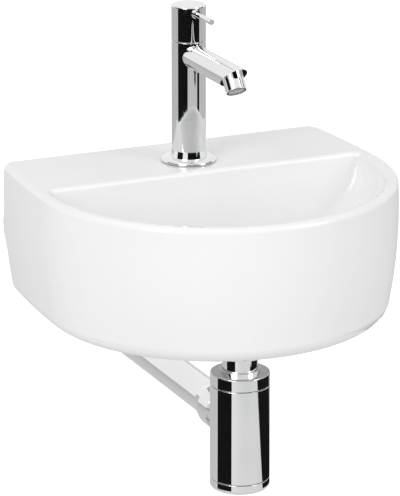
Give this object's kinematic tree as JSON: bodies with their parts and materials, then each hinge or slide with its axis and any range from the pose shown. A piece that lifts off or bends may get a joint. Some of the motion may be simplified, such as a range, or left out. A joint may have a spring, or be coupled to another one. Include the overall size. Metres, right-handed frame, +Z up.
{
  "type": "wall hung basin",
  "caption": "Small wall hung washbasin with a single pillar tap, an open grid waste and a bottle trap piped into the wall; the tap lever turns a quarter, the trap cup comes off",
  "frame": {"origin": "on the wall plane, midway between the two wall bolts", "axes": "+Y into the wall, +X to the right of someone who faces the wall, +Z up"},
  "size_m": [0.33, 0.385, 0.4212],
  "materials": {
    "glaze": "high gloss white glaze",
    "chrome": "polished",
    "brass": "machined",
    "steel": "zinc plated",
    "rubber": "matt black",
    "white_plastic": "moulded",
    "disc_ceramic": "lapped alumina"
  },
  "bodies": {
    "root": {"aerator_housing": "chrome", "aerator_insert": "white_plastic", "aerator_washer": "rubber", "basin": "glaze", "ceramic_disc_fixed": "disc_ceramic", "headwork_seal": "rubber", "outlet_nut": "chrome", "outlet_seal": "rubber", "shank_nut": "brass", "shank_rubber_washer": "rubber", "shank_steel_washer": "steel", "tap_base_flange": "chrome", "tap_base_gasket": "rubber", "tap_body": "chrome", "tap_headwork": "brass", "tap_shank": "brass", "tap_spout": "chrome", "trap_body": "chrome", "trap_cap": "chrome", "trap_cap_seal": "rubber", "trap_collar": "chrome", "trap_inlet_nut": "chrome", "trap_inlet_tube": "chrome", "trap_inlet_washer": "rubber", "wall_bolt_bushes": "white_plastic", "wall_bolt_nuts": "steel", "wall_bolt_washers": "steel", "wall_bolts": "steel", "wall_pipe": "chrome", "waste_bottom_gasket": "rubber", "waste_grid": "chrome", "waste_screw": "steel", "waste_tail": "chrome", "waste_top_gasket": "rubber"},
    "handle": {"tap_handle": "chrome", "tap_lever": "chrome", "tap_spindle": "brass", "ceramic_disc_moving": "disc_ceramic"},
    "cup": {"trap_cup": "chrome", "trap_cup_seal": "rubber"}
  },
  "joints": [
    {"name": "tap_turn", "type": "hinge", "parent": "root", "child": "handle", "pos_m": [0, -0.0625, 0.19], "axis": [0, 0, 1], "range_deg": [0, 90]},
    {"name": "cup_off", "type": "slide", "parent": "root", "child": "cup", "axis": [0, 0, -1], "range_m": [0, 0.03]}
  ]
}
